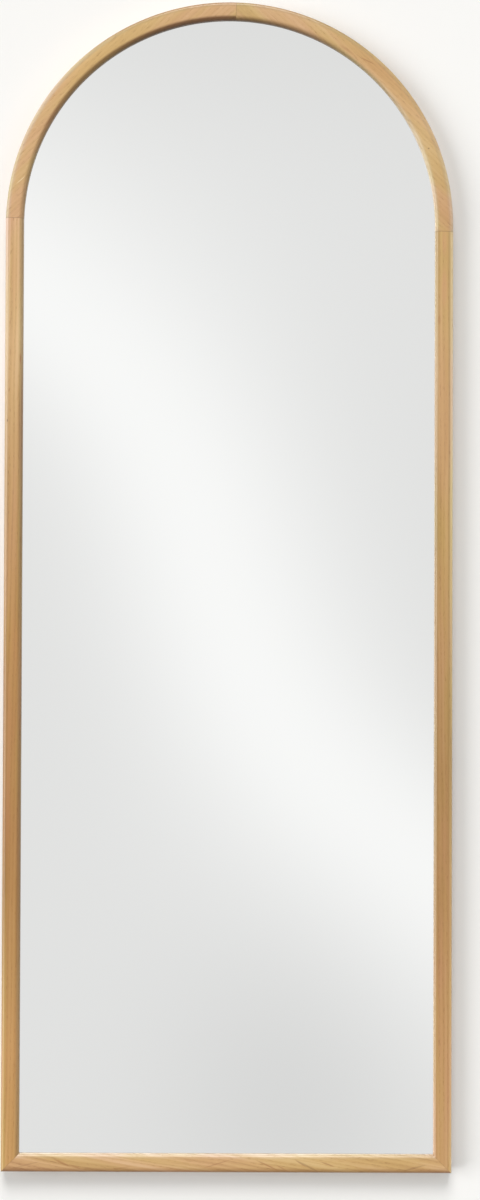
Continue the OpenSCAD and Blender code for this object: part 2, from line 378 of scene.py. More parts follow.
def grainColour(along, patterns, look):
    value = centred(patterns["rings"], oakFinish["ringPull"])
    value = value + centred(patterns["streaks"], oakFinish["streakPull"])
    value = value + centred(patterns["broad"], oakFinish["broadPull"])
    low, high = look["figure"]
    value = value * (along * (high - low) + low) + oakFinish["middle"]
    value = value + centred(patterns["fibres"], oakFinish["fibrePull"])
    value = value - patterns["pores"] * oakFinish["porePull"]
    value = value + patterns["flecks"] * look["flecks"]
    warmth = ease(patterns["patches"], *oakFinish["tintEdge"])
    tint = mixColours(warmth, oakFinish["coolTint"], oakFinish["warmTint"])
    return mixColours(look["blush"], ramp(value, oakFinish["colours"]), tint, "MULTIPLY")


def oakMaterial(name, look):
    material, tree = materialTree(name)
    coords = objectCoords(tree)
    patterns = grainPatterns(coords, look)
    along = ease(partsOf(coords)[2], look["toneFoot"], look["toneHead"])
    colour = grainColour(along, patterns, look)
    colour = mixColours(1.0, colour, ramp(along, look["tones"]), "MULTIPLY")
    # painted highlight and shade on the rounded edges, and the darker sides
    colour = mixColours(1.0, colour, arrisTint(coords, along, look), "MULTIPLY")
    for *oval, tone, strength in look["marks"]:
        colour = mixColours(markMask(coords, oval) * strength, colour, tone)
    for x, z, angle, depth in look["ends"]:  # the glue lines
        slope = math.radians(angle)
        across = (-math.sin(slope), 0, math.cos(slope))
        offset = vectorCalc("DOT_PRODUCT", addVectors(coords, (-x, 0, -z)), across, output="Value")
        wide, core = oakFinish["glueLine"]
        line = ease(calc("ABSOLUTE", offset), wide, core, 0.0, depth)
        colour = mixColours(line, colour, oakFinish["glue"])

    pores = patterns["pores"]
    rough = centred(patterns["streaks"], oakFinish["streakRoughness"]) + oakFinish["roughness"]
    rough = rough + pores * oakFinish["poreRoughness"]
    relief = patterns["fibres"] * oakFinish["fibreRelief"] - pores
    lacquer = {
        "Normal": bumpOf(relief, oakFinish["bump"], oakFinish["bumpDepth"]),
        "Coat Weight": oakFinish["coat"],
        "Coat Roughness": oakFinish["coatRoughness"],
    }
    finishMaterial(tree, colour, rough, **lacquer)
    return material


def arcPoints(x, y, radius, start, end, steps):
    angles = [math.radians(start + (end - start) * i / steps) for i in range(steps + 1)]
    return [(x + radius * math.cos(a), y + radius * math.sin(a), 0) for a in angles]


def oakSection():  # x runs inwards from the outer edge, y back from the front
    depth = backY - frontY
    outer, inner, back = oakMember["outerRadius"], oakMember["innerRadius"], oakMember["backRadius"]
    core = faceW - oakMember["rebate"]
    wall, shelf = oakMember["backWall"], depth - boardT
    steps = oakMember["arrisSteps"]
    points = arcPoints(outer, outer, outer, 180, 270, steps)
    points += arcPoints(faceW - inner, inner, inner, 270, 360, steps)
    points += [(faceW, lipT, 0), (core, lipT, 0), (core, shelf, 0), (wall, shelf, 0), (wall, depth, 0)]
    points += arcPoints(back, depth - back, back, 90, 180, steps)
    return loopMesh("oakSection", points)


def sweptSection(tree, given):  # the section drawn up from z = 0 to 1, and its points as x, y, z
    profile = signal(tree, "GeometryNodeMeshToCurve", {"Mesh": given["Geometry"]})
    line = signal(tree, "GeometryNodeCurvePrimitiveLine", {"Start": (0, 0, 0), "End": (0, 0, 1)})
    spine = signal(tree, "GeometryNodeResampleCurve", {"Curve": line, "Count": given["Steps"]})
    inputs = {"Curve": spine, "Profile Curve": profile, "Fill Caps": True}
    swept = signal(tree, "GeometryNodeCurveToMesh", inputs)
    return swept, partsOf(signal(tree, "GeometryNodeInputPosition"))


def straightOakTree():
    sizes = {"Start": "Vector", "Across": "Vector", "Along": "Vector", "Length": "Float",
             "Start Slope": "Float", "End Slope": "Float", "Steps": "Int", "Oak": "Material"}
    tree, given = geometryTree("straightOak", sizes)
    swept, (x, y, z) = sweptSection(tree, given)
    # the slopes cut the mitres at the foot and the turned joints above
    first, last = given["Start Slope"] * x, given["End Slope"] * x + given["Length"]
    run = signal(tree, "ShaderNodeMapRange", {"Value": z, "To Min": first, "To Max": last})
    place = addVectors(given["Start"], scaleVector(given["Across"], x), scaleVector(given["Along"], run),
                       vectorOf(0.0, y, 0.0))
    moved = signal(tree, "GeometryNodeSetPosition", {"Geometry": swept, "Position": place})
    endTree(tree, moved, given["Oak"])
    return tree


def archOakTree():
    sizes = {"Centre": "Vector", "Radius": "Float", "Start Angle": "Float", "Sweep": "Float",
             "Steps": "Int", "Oak": "Material"}
    tree, given = geometryTree("archOak", sizes)
    swept, (x, y, z) = sweptSection(tree, given)
    angle = z * given["Sweep"] + given["Start Angle"]
    radius = given["Radius"] - x
    place = vectorOf(radius * calc("COSINE", angle), y, radius * calc("SINE", angle))
    inputs = {"Geometry": swept, "Position": addVectors(given["Centre"], place)}
    endTree(tree, signal(tree, "GeometryNodeSetPosition", inputs), given["Oak"])
    return tree


def cutAway(piece, mesh):  # takes a closed mesh out of a piece
    cutter = addObject("cutter", mesh)
    cut = piece.modifiers.new("cut", "BOOLEAN")
    cut.operation, cut.solver, cut.object = "DIFFERENCE", "EXACT", cutter
    piece.data = settledMesh(piece)
    piece.modifiers.clear()
    bpy.data.objects.remove(cutter)


def mergedCopy(name):  # a CAD node's triangles, joined into closed solids
    mesh = bpy.data.meshes.new(name + "Copy")

    def weld(shell):
        bmesh.ops.remove_doubles(shell, verts=shell.verts, dist=oakMember["weld"])

    editMesh(cadNodes[name].data, mesh, weld)
    return mesh


def keySlotMesh(side):  # the slot that a corner key is glued into
    leg = keyHigh.x - keyLow.x
    reach = oakMember["keyReach"]
    corners = [(-reach, -reach), (leg + reach, -reach), (-reach, leg + reach)]
    points = [(side * (x - outerHalf), y, z + bottomZ) for y in (keyLow.y, keyHigh.y) for x, z in corners]
    faces = [(0, 1, 2), (5, 4, 3), (0, 3, 4, 1), (1, 4, 5, 2), (2, 5, 3, 0)]
    mesh = plainMesh("keySlot", points, [], faces)
    editMesh(mesh, mesh, lambda shell: bmesh.ops.recalc_face_normals(shell, faces=shell.faces))
    return mesh


archTurn = oakMember["archTurn"]
leftJoint = (0, springZ, 180 - archTurn, 0.5)  # a place on each glue line, its angle and how dark it is
crownJoint = (0, springZ, 90 - archTurn, 0.45)
rightJoint = (0, springZ, -archTurn, 0.5)
leftMitre = (-outerHalf, bottomZ, 45, 0.3)
rightMitre = (outerHalf, bottomZ, 135, 0.2)

darkMark = (0.15, 0.062, 0.020, 1)
redMark = (0.30, 0.105, 0.030, 1)
paleMark = (0.84, 0.66, 0.40, 1)
pinkMark = (0.60, 0.315, 0.155, 1)

# Each member's grain and how it was cut from the log, then its tones from foot to head, the painted
# highlight and shade of its rounded edges (place, rim, shoulder, inner, lip), its marks (x, z, length,
# width, turn, tone, strength) and its glue lines
oakLooks = {
    "left_stile": {
        "grain": 0.9, "lean": (0.5, 0.0), "pith": (0.060, 0.035), "seed": 0.0,
        "wander": 9 * mm, "ripple": 2.4 * mm, "blush": 1.0,
        "figure": (0.8, 0.95), "flecks": 0.0,
        "toneFoot": -1.31, "toneHead": 0.06,
        "tones": [(0, (0.98, 0.91, 0.94)), (0.04, (0.99, 0.88, 0.95)), (0.10, (0.88, 0.79, 0.80)),
                  (0.21, (0.74, 0.61, 0.54)), (0.30, (0.73, 0.60, 0.52)), (0.38, (0.76, 0.66, 0.56)),
                  (0.60, (0.84, 0.78, 0.66)), (0.87, (1.02, 1.02, 1.32)), (0.91, (1.08, 1.11, 1.48)),
                  (0.96, (1.26, 1.36, 2.05)), (1, (1.18, 1.28, 1.74))],
        "arris": [(0, (1.02, 1.13, 1.08), (0.93, 1.02, 0.88), (0.75, 0.75, 0.76), (1.0, 1.12, 1.35)),
                  (1, (0.98, 1.10, 1.30), (0.93, 0.98, 1.10), (0.70, 0.74, 0.63), (0.84, 0.87, 0.90))],
        "marks": [(-0.3038, -0.135, 16 * mm, 2.2 * mm, 90, redMark, 0.7),
                  (-0.3220, -0.225, 5 * mm, 2 * mm, 90, darkMark, 0.6),
                  (-0.3133, -0.012, 110 * mm, 9 * mm, 90, pinkMark, 0.35)],
        "ends": [leftJoint, leftMitre],
    },
    "right_stile": {
        "grain": -0.4, "lean": (-0.4, 0.0), "pith": (-0.070, 0.050), "seed": 3.1,
        "wander": 8 * mm, "ripple": 2.4 * mm, "blush": 1.0,
        "figure": (0.7, 0.75), "flecks": 0.0,
        "toneFoot": -1.31, "toneHead": 0.06,
        "tones": [(0, (0.97, 0.94, 1.10)), (0.08, (0.90, 0.87, 0.94)), (0.38, (0.72, 0.67, 0.66)),
                  (0.70, (0.91, 0.97, 0.96)), (1, (1.05, 1.13, 1.33))],
        "arris": [(0, (1.60, 1.80, 1.90), (0.90, 0.89, 0.84), (0.86, 0.88, 0.76), (1.12, 1.34, 1.70)),
                  (1, (1.75, 2.15, 3.15), (0.80, 0.86, 0.93), (0.76, 0.80, 0.76), (1.0, 1.20, 1.50))],
        "marks": [(0.3132, 0.036, 42 * mm, 8 * mm, 90, pinkMark, 0.45),
                  (0.3132, -0.030, 70 * mm, 9 * mm, 90, pinkMark, 0.50),
                  (0.3059, -0.076, 16 * mm, 5 * mm, 90, redMark, 0.25)],
        "ends": [rightJoint, rightMitre],
    },
    "bottom_rail": {
        "grain": 100, "lean": (2.0, 0.0), "pith": (0.020, 0.030), "seed": 5.7,
        "wander": 16 * mm, "ripple": 9 * mm, "blush": 0.8,
        "figure": (1.1, 1.1), "flecks": 0.04,
        "toneFoot": -1.31, "toneHead": -1.28,
        "tones": [(0, (1.10, 1.19, 1.44)), (1, (1.12, 1.21, 1.48))],
        "arris": [(0, (0.66, 0.54, 0.43), (0.76, 0.71, 0.66), (0.97, 1.05, 1.25), (0.96, 1.15, 1.60))],
        "marks": [(0.273, -1.3058, 38 * mm, 2.8 * mm, 15, darkMark, 0.30),
                  (-0.291, -1.3040, 46 * mm, 2.6 * mm, 15, darkMark, 0.20),
                  (0.060, -1.3030, 40 * mm, 2.6 * mm, -25, redMark, 0.50),
                  (0.082, -1.3075, 26 * mm, 2.0 * mm, -30, redMark, 0.34),
                  (0.118, -1.3040, 42 * mm, 3.4 * mm, -27, darkMark, 0.36),
                  (0.108, -1.3000, 22 * mm, 2.2 * mm, -34, redMark, 0.38),
                  (0.147, -1.3010, 24 * mm, 2.4 * mm, -19, redMark, 0.50),
                  (-0.013, -1.3010, 46 * mm, 2.4 * mm, 17, redMark, 0.34),
                  (-0.237, -1.3005, 28 * mm, 3.6 * mm, -24, redMark, 0.50),
                  (-0.218, -1.3060, 20 * mm, 3.0 * mm, -20, redMark, 0.34),
                  (-0.150, -1.3070, 34 * mm, 2.0 * mm, 8, redMark, 0.26)],
        "ends": [leftMitre, rightMitre],
    },
    "left_arch": {
        "grain": 46.6, "lean": (1.2, 0.0), "pith": (0.045, 0.045), "seed": 8.2,
        "wander": 14 * mm, "ripple": 4 * mm, "blush": 0.8,
        "figure": (0.36, 0.36), "flecks": 0.08,
        "toneFoot": 0.05, "toneHead": 0.39,
        "tones": [(0, (1.14, 1.23, 1.62)), (0.5, (1.12, 1.24, 1.50)), (0.8, (1.17, 1.27, 1.50)),
                  (1, (1.10, 1.20, 1.46))],
        "arris": [(0.2, (0.94, 1.23, 1.51), (0.98, 1.05, 1.25), (0.70, 0.68, 0.58), (0.86, 0.88, 0.76)),
                  (0.5, (1.02, 1.34, 2.00), (1.00, 1.14, 1.50), (0.49, 0.41, 0.30), (0.88, 0.81, 0.70)),
                  (0.8, (0.90, 1.15, 1.64), (0.93, 1.08, 1.45), (0.42, 0.36, 0.28), (0.79, 0.73, 0.62)),
                  (1, (0.57, 0.49, 0.38), (0.86, 0.88, 0.86), (0.31, 0.23, 0.15), (0.33, 0.24, 0.14))],
        "marks": [(-0.3045, 0.1263, 18 * mm, 1.6 * mm, 42, paleMark, 0.7),
                  (-0.2870, 0.131, 4 * mm, 2 * mm, 60, darkMark, 0.7)],
        "ends": [leftJoint, crownJoint],
    },
    "right_arch": {
        "grain": -46.6, "lean": (1.5, 0.0), "pith": (0.030, 0.040), "seed": 11.4,
        "wander": 15 * mm, "ripple": 4 * mm, "blush": 0.9,
        "figure": (0.50, 0.50), "flecks": 0.06,
        "toneFoot": 0.05, "toneHead": 0.39,
        "tones": [(0.05, (1.00, 1.06, 1.23)), (0.4, (1.18, 1.33, 1.86)), (0.8, (1.09, 1.08, 1.40)),
                  (1, (1.09, 1.22, 1.48))],
        "arris": [(0, (1.36, 1.67, 2.38), (0.94, 1.00, 1.20), (0.93, 1.10, 1.28), (1.19, 1.51, 2.07)),
                  (0.4, (1.03, 1.06, 1.15), (0.85, 0.87, 0.92), (1.00, 1.08, 1.31), (1.08, 1.23, 1.61)),
                  (0.8, (0.91, 1.03, 1.00), (0.91, 0.96, 1.00), (1.09, 1.18, 1.26), (0.83, 1.01, 1.09)),
                  (1, (0.65, 0.63, 0.50), (0.86, 0.89, 0.87), (0.70, 0.66, 0.60), (0.38, 0.30, 0.21))],
        "marks": [(0.2900, 0.1746, 3 * mm, 2.2 * mm, 0, darkMark, 0.7),
                  (0.2004, 0.3025, 26 * mm, 2.2 * mm, -26, redMark, 0.5),
                  (0.1700, 0.3190, 30 * mm, 4.0 * mm, -34, redMark, 0.25)],
        "ends": [crownJoint, rightJoint],
    },
}


def makeOak():
    section = oakSection()
    straightTree, archTree = straightOakTree(), archOakTree()
    slope = math.tan(math.radians(archTurn))
    centre = (0, frontY, springZ)
    leftTop, rightTop = springZ + outerHalf * slope, springZ - outerHalf * slope
    straight = {
        "left_stile": {"Start": (-outerHalf, frontY, bottomZ), "Across": (1, 0, 0), "Along": (0, 0, 1),
                       "Length": leftTop - bottomZ, "Start Slope": 1.0, "End Slope": -slope},
        "right_stile": {"Start": (outerHalf, frontY, rightTop), "Across": (-1, 0, 0), "Along": (0, 0, -1),
                        "Length": rightTop - bottomZ, "Start Slope": -slope, "End Slope": -1.0},
        "bottom_rail": {"Start": (outerHalf, frontY, bottomZ), "Across": (0, 0, 1), "Along": (-1, 0, 0),
                        "Length": 2 * outerHalf, "Start Slope": 1.0, "End Slope": -1.0},
    }
    keySides = {"left_stile": (1,), "right_stile": (-1,), "bottom_rail": (1, -1)}  # 1 is the left corner
    joined = {  # what each member is mortised or bored for
        "left_stile": ("left_spring_tenon", "board_screws", "hanger_screws"),
        "right_stile": ("right_spring_tenon", "board_screws", "hanger_screws"),
        "bottom_rail": ("board_screws",),
        "left_arch": ("left_spring_tenon", "crown_tenon", "board_screws"),
        "right_arch": ("crown_tenon", "right_spring_tenon", "board_screws"),
    }
    for name, look in oakLooks.items():
        values = {"Oak": oakMaterial(name + "Oak", look)}
        if name in straight:
            values.update(straight[name], Steps=oakMember["straightSteps"])
            piece = growPiece(name + "_oak", section, straightTree, values)
        else:
            start = 180 - archTurn if name == "left_arch" else 90 - archTurn
            values.update({"Centre": centre, "Radius": outerHalf, "Start Angle": math.radians(start),
                           "Sweep": -math.pi / 2, "Steps": oakMember["archSteps"]})
            piece = growPiece(name + "_oak", section, archTree, values)
        for side in keySides.get(name, ()):
            cutAway(piece, keySlotMesh(side))
        for tenon in joined[name]:
            cutAway(piece, mergedCopy(tenon))
        smoothMesh(piece.data)
        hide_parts(name)
        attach(piece, "mirror")
    print("oak members made")


makeOak()


# Silvered glass

mirrorLook = {
    "silver": (0.93, 0.935, 0.93, 1),
    "roughness": 0.012,
    "haze": 0.01,
    "hazeNoise": ((6, 6, 6), 3),
}


def mirrorMaterial():
    material, tree = materialTree("silveredGlass")
    haze = noise(objectCoords(tree), *mirrorLook["hazeNoise"])
    finishMaterial(tree, mirrorLook["silver"], haze * mirrorLook["haze"] + mirrorLook["roughness"], 1.0)
    return material


def paint(name, material):  # a CAD node keeps its shape and gets its finish
    for slot in cadNodes[name].material_slots:
        slot.material = material


paint("mirror_glass", mirrorMaterial())
print("glass finished")


# Plain finishes for the small and hidden pieces

speckle = {
    "detail": 3.0,
    "broadStretch": 0.08,
    "broadNoise": (2, (4, 4, 4)),  # its detail and its shift
    "fineShare": 0.6,
    "broadShare": 0.4,
    "stops": (0.34, 0.64),
    "roughnessPull": 0.25,
    "bump": 0.1,
    "bumpDepth": 0.1 * mm,
}

speckledLooks = {  # dark, light, how fast the specks change along x, y and z, roughness and metal
    "zincPlate": ((0.42, 0.43, 0.44), (0.62, 0.63, 0.65), (180, 180, 900), 0.36, 1.0),
    "zincWire": ((0.46, 0.47, 0.48), (0.66, 0.67, 0.69), (700, 700, 700), 0.30, 1.0),
    "screwSteel": ((0.42, 0.38, 0.28), (0.64, 0.60, 0.48), (600, 600, 600), 0.32, 1.0),
    "bumperRubber": ((0.030, 0.028, 0.026), (0.060, 0.056, 0.052), (800, 800, 800), 0.72, 0.0),
    "blockRubber": ((0.022, 0.020, 0.018), (0.045, 0.040, 0.034), (600, 600, 600), 0.8, 0.0),
    "safetyFilm": ((0.34, 0.38, 0.41), (0.43, 0.47, 0.50), (40, 40, 40), 0.4, 0.0),
    "foam": ((0.78, 0.78, 0.74), (0.90, 0.90, 0.87), (900, 900, 900), 0.85, 0.0),
    "beech": ((0.58, 0.37, 0.20), (0.72, 0.50, 0.30), (900, 900, 60), 0.55, 0.0),
    "keyOak": ((0.26, 0.13, 0.045), (0.46, 0.26, 0.11), (1400, 1400, 90), 0.5, 0.0),
}


def speckled(name, dark, light, stretch, roughness, metallic):
    material, tree = materialTree(name)
    coords = objectCoords(tree)
    fine = noise(coords, stretch, speckle["detail"])
    broad = noise(coords, tuple(s * speckle["broadStretch"] for s in stretch), *speckle["broadNoise"])
    mixed = broad * speckle["broadShare"] + fine * speckle["fineShare"]
    colour = ramp(mixed, list(zip(speckle["stops"], (dark, light))))
    rough = centred(mixed, speckle["roughnessPull"]) + roughness
    normal = bumpOf(fine, speckle["bump"], speckle["bumpDepth"])
    finishMaterial(tree, colour, rough, metallic, Normal=normal)
    return material


finishes = {name: speckled(name, *look) for name, look in speckledLooks.items()}

for name, finish in {
    "left_spring_tenon": "beech", "crown_tenon": "beech", "right_spring_tenon": "beech",
    "left_corner_key": "keyOak", "right_corner_key": "keyOak", "glass_blocks": "blockRubber",
    "safety_film": "safetyFilm", "foam_sheet": "foam",
}.items():
    paint(name, finishes[finish])


# Back board: pressed fibres, smooth on the side that shows

boardLook = {
    "colours": ((0.36, (0.150, 0.078, 0.034)), (0.50, (0.255, 0.142, 0.066)),
                (0.64, (0.390, 0.240, 0.122))),
    "speck": (0.150, 0.078, 0.034, 1),
    "speckEdge": (0.70, 0.78),
    "speckShare": 0.6,
    "warp": 4 * mm,
    "chipShare": 0.42,
    "fibreShare": 0.40,
    "cloudShare": 0.18,
    "roughness": 0.46,
    "roughnessPull": 0.2,
    "bump": 0.25,
    "bumpDepth": 0.2 * mm,
}

boardNoise = {
    "warpX": ((90, 90, 90), 3),
    "warpZ": ((90, 90, 90), 3, (5, 5, 5)),
    "chips": ((420, 420, 900), 5),
    "fibres": ((1900, 420, 420), 4, (3, 1, 2)),
    "clouds": ((9, 9, 9), 4, (2, 6, 4)),
    "specks": ((420, 420, 420), 1, (8, 2, 5)),
}


def boardMaterial():
    material, tree = materialTree("hardboard")
    coords = objectCoords(tree)
    pushX = centred(noise(coords, *boardNoise["warpX"]), boardLook["warp"])
    pushZ = centred(noise(coords, *boardNoise["warpZ"]), boardLook["warp"])
    warped = addVectors(coords, vectorOf(pushX, 0.0, pushZ))
    clouds = noise(coords, *boardNoise["clouds"])
    pattern = noise(warped, *boardNoise["chips"]) * boardLook["chipShare"]
    pattern = pattern + noise(warped, *boardNoise["fibres"]) * boardLook["fibreShare"]
    pattern = pattern + clouds * boardLook["cloudShare"]
    specks = ease(noise(coords, *boardNoise["specks"]), *boardLook["speckEdge"]) * boardLook["speckShare"]
    colour = mixColours(specks, ramp(pattern, boardLook["colours"]), boardLook["speck"])
    rough = centred(clouds, boardLook["roughnessPull"]) + boardLook["roughness"]
    normal = bumpOf(pattern, boardLook["bump"], boardLook["bumpDepth"])
    finishMaterial(tree, colour, rough, Normal=normal)
    return material


paint("backing_board", boardMaterial())
print("small pieces and board finished")


# Screws and bumpers: turned shapes, set out in rows up the sides, along the foot and round the arch

boardScrew = {
    "radius": 1.5 * mm,
    "length": 14 * mm,
    "headRadius": 3 * mm,
    "edge": 0.12 * mm,
    "recess": 3.6 * mm,
    "rowFoot": 60 * mm,
    "rowHead": 108 * mm,
    "rowCount": 6,
    "archCount": 6,
    "footHalf": 201.5 * mm,
    "footCount": 3,
}
strapScrew = {
    "radius": 1.75 * mm,
    "length": 18 * mm,
    "headRadius": 3.5 * mm,
    "headHeight": 2 * mm,
    "recess": 3.85 * mm,
    "below": (40 * mm, 24 * mm),
}
bumper = {
    "radius": 6 * mm,
    "height": 6 * mm,
    "fillet": 2 * mm,
    "foot": 0.4 * mm,
    "dish": 0.25 * mm,
    "dishRadius": 3.2 * mm,
    "inset": 12 * mm,
    "drop": 34 * mm,
}
latheSides = 28
curveSteps = 8
spinSeed = 7

screwThread = {  # widths and rises, as shares of the shank's radius, of its root or of the pitch
    "root": 0.74,
    "pitch": 0.8,
    "crest": (0.42, 0.58),
    "point": (0.7, 0.9),
    "neck": (0.9, 0.5),
}
crossRecess = {  # an arm's half width and depth to the recess's width, and how long and wide it gets
    "halfWidth": 0.1,
    "depth": 0.25,
    "foot": (0.55, 0.7),
    "mouth": (1.15, 1.15),
}


def lathed(name, profile):  # turns a line of radius and height, listed from the foot up, round the z axis
    points, faces, rings = [], [], []
    for radius, z in profile:
        count = latheSides if radius > 0 else 1
        rings.append([len(points) + i for i in range(count)])
        for i in range(count):
            angle = 2 * math.pi * i / latheSides
            points.append((radius * math.cos(angle), radius * math.sin(angle), z))
    for low, high in zip(rings, rings[1:]):
        for i in range(latheSides):
            j = (i + 1) % latheSides
            corners = [low[i % len(low)], low[j % len(low)], high[j % len(high)], high[i % len(high)]]
            faces.append(tuple(dict.fromkeys(corners)))
    return plainMesh(name, points, [], faces)


def threadedShank(radius, length, top):  # the point, then a thread up to the plain neck
    root, pitch = radius * screwThread["root"], radius * screwThread["pitch"]
    pointWidth, pointRise = screwThread["point"]
    neckWidth, neckRise = screwThread["neck"]
    profile = [(0, -length), (root * pointWidth, -length + radius * pointRise)]
    z = -length + radius
    while z < top - 2 * pitch:
        profile += [(root, z)] + [(radius, z + pitch * edge) for edge in screwThread["crest"]]
        z += pitch
    return profile + [(root, z), (radius * neckWidth, z + pitch * neckRise)]


def cutCross(mesh, width, top):  # the driver's recess, narrower at its foot
    half, depth = width * crossRecess["halfWidth"], width * crossRecess["depth"]
    points = []
    for z, (longer, wider) in ((top - depth, crossRecess["foot"]), (top + depth, crossRecess["mouth"])):
        reach, wide = width / 2 * longer, half * wider
        for c, d in ((1, 0), (0, 1), (-1, 0), (0, -1)):
            for x, y in ((reach, -wide), (reach, wide), (wide, wide)):
                points.append((c * x - d * y, d * x + c * y, z))
    count = len(points) // 2
    faces = [tuple(reversed(range(count))), tuple(range(count, 2 * count))]
    faces += [(i, (i + 1) % count, count + (i + 1) % count, count + i) for i in range(count)]
    screw = addObject("screw", mesh)
    cutAway(screw, plainMesh("cross", points, [], faces))
    plain = screw.data
    bpy.data.objects.remove(screw)
    return plain


def boardScrewMesh():
    look = boardScrew
    neck = look["radius"] - look["headRadius"]
    profile = threadedShank(look["radius"], look["length"], neck)
    profile += [(look["radius"], neck), (look["headRadius"], -look["edge"]),
                (look["headRadius"] - look["edge"], 0), (0, 0)]
    return cutCross(lathed("boardScrew", profile), look["recess"], 0)


def strapScrewMesh():
    look = strapScrew
    head, height = look["headRadius"], look["headHeight"]
    dome = (head * head + height * height) / (2 * height)
    profile = threadedShank(look["radius"], look["length"], 0) + [(look["radius"], 0)]
    sweep = math.asin(head / dome)
    for i in range(curveSteps + 1):
        angle = sweep * (1 - i / curveSteps)
        profile.append((dome * math.sin(angle), height - dome + dome * math.cos(angle)))
    profile[-1] = (0, height)
    return cutCross(lathed("strapScrew", profile), look["recess"], height)


def bumperMesh():
    look = bumper
    radius, height, fillet, foot = look["radius"], look["height"], look["fillet"], look["foot"]
    curve = arcPoints(radius - fillet, height - fillet, fillet, 0, 90, curveSteps)
    profile = [(0, 0), (radius - foot, 0), (radius, foot)] + [point[:2] for point in curve]
    dish, sunk = look["dishRadius"], height - look["dish"]
    profile += [(dish, height), (dish - look["dish"], sunk), (0, sunk)]
    return lathed("bumper", profile)


def rowsTree():
    sizes = {"Half Width": "Float", "Depth": "Float", "Foot": "Float", "Head": "Float", "Row Count": "Int",
             "Spring": "Float", "Arch Count": "Int", "Foot Level": "Float", "Foot Half": "Float",
             "Foot Count": "Int", "Spin": "Float", "Finish": "Material"}
    tree, given = geometryTree("rows", sizes)
    half, depth, footHalf = given["Half Width"], given["Depth"], given["Foot Half"]

    def line(start, end, count):
        inputs = {"Count": count, "Start Location": start, "Offset": end}
        return signal(tree, "GeometryNodeMeshLine", inputs, mode="END_POINTS")

    rows = [line(vectorOf(x, depth, given["Foot"]), vectorOf(x, depth, given["Head"]), given["Row Count"])
            for x in (half, half * -1)]
    ends = [vectorOf(x, depth, given["Foot Level"]) for x in (footHalf * -1, footHalf)]
    rows.append(line(*ends, given["Foot Count"]))
    share = (signal(tree, "GeometryNodeInputIndex") + 0.5) / given["Arch Count"]
    angle = share * math.pi
    place = vectorOf(half * calc("COSINE", angle), depth, half * calc("SINE", angle) + given["Spring"])
    arch = line((0, 0, 0), (1, 0, 0), given["Arch Count"])  # its points then move to their places
    rows.append(signal(tree, "GeometryNodeSetPosition", {"Geometry": arch, "Position": place}))
    joined = node(tree, "GeometryNodeJoinGeometry")
    for row in rows:
        tree.links.new(row.socket, joined.inputs[0])
    spin = node(tree, "FunctionNodeRandomValue", data_type="FLOAT")
    for socket in spin.inputs:
        if socket.name == "Max" and socket.type == "VALUE":
            tree.links.new(given["Spin"].socket, socket)
        if socket.name == "Seed":
            socket.default_value = spinSeed
    turn = Signal(next(socket for socket in spin.outputs if socket.type == "VALUE"))
    inputs = {"Points": Signal(joined.outputs[0]), "Instance": given["Geometry"],
              "Rotation": vectorOf(-math.pi / 2, turn, 0.0)}  # the heads face the wall
    endTree(tree, signal(tree, "GeometryNodeInstanceOnPoints", inputs), given["Finish"])
    return tree


def makeFixings():
    tree = rowsTree()
    pivot = Vector(joints["right_ring"]["pos_m"])
    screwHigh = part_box("hanger_screws")[1]
    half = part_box("board_screws")[1].x - boardScrew["headRadius"]
    strapHalf = screwHigh.x - strapScrew["headRadius"]
    ledge = outerHalf - half
    archless = {"Spring": 0.0, "Arch Count": 0, "Foot Level": 0.0, "Foot Half": 0.0, "Foot Count": 0}
    sets = {
        "board_screws": (boardScrewMesh(), "screwSteel", "screw_steel", {
            "Half Width": half, "Depth": backY, "Foot": bottomZ + boardScrew["rowFoot"],
            "Head": pivot.z - boardScrew["rowHead"], "Row Count": boardScrew["rowCount"],
            "Spring": springZ, "Arch Count": boardScrew["archCount"], "Foot Level": bottomZ + ledge,
            "Foot Half": boardScrew["footHalf"], "Foot Count": boardScrew["footCount"], "Spin": math.pi}),
        "hanger_screws": (strapScrewMesh(), "screwSteel", "screw_steel", dict(archless, **{
            "Half Width": strapHalf, "Depth": screwHigh.y - strapScrew["headHeight"],
            "Foot": pivot.z - strapScrew["below"][0], "Head": pivot.z - strapScrew["below"][1],
            "Row Count": 2, "Spin": math.pi})),
        "wall_bumpers": (bumperMesh(), "bumperRubber", "bumper_rubber", dict(archless, **{
            "Half Width": outerHalf - bumper["inset"], "Depth": backY, "Foot": bottomZ + bumper["inset"],
            "Head": springZ - bumper["drop"], "Row Count": 2, "Spin": 0.0})),
    }
    for name, (mesh, finish, slot, values) in sets.items():
        piece = growPiece(name + "_turned", mesh, tree, dict(values, Finish=finishes[finish]))
        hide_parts(name)
        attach(piece, "mirror")
    print("screws and bumpers made")


makeFixings()


# Hangers: a bent wire ring in the rolled eye of each strap

ringLook = {
    "wireRadius": 1.3 * mm,
    "barHalf": 6.5 * mm,
    "bend": 2.5 * mm,
    "leg": 5 * mm,
    "half": 9 * mm,
    "tilt": 2,
    "sides": 20,
    "loopSteps": 40,
}
strapLook = {"edge": 0.14 * mm, "segments": 2, "flatBelow": 1, "brokenAbove": 35}


def wireTree():
    tree, given = geometryTree("bentWire", {"Wire Radius": "Float", "Sides": "Int", "Metal": "Material"})
    path = signal(tree, "GeometryNodeMeshToCurve", {"Mesh": given["Geometry"]})
    inputs = {"Resolution": given["Sides"], "Radius": given["Wire Radius"]}
    wire = signal(tree, "GeometryNodeCurvePrimitiveCircle", inputs)
    swept = signal(tree, "GeometryNodeCurveToMesh", {"Curve": path, "Profile Curve": wire})
    endTree(tree, swept, given["Metal"])
    return tree


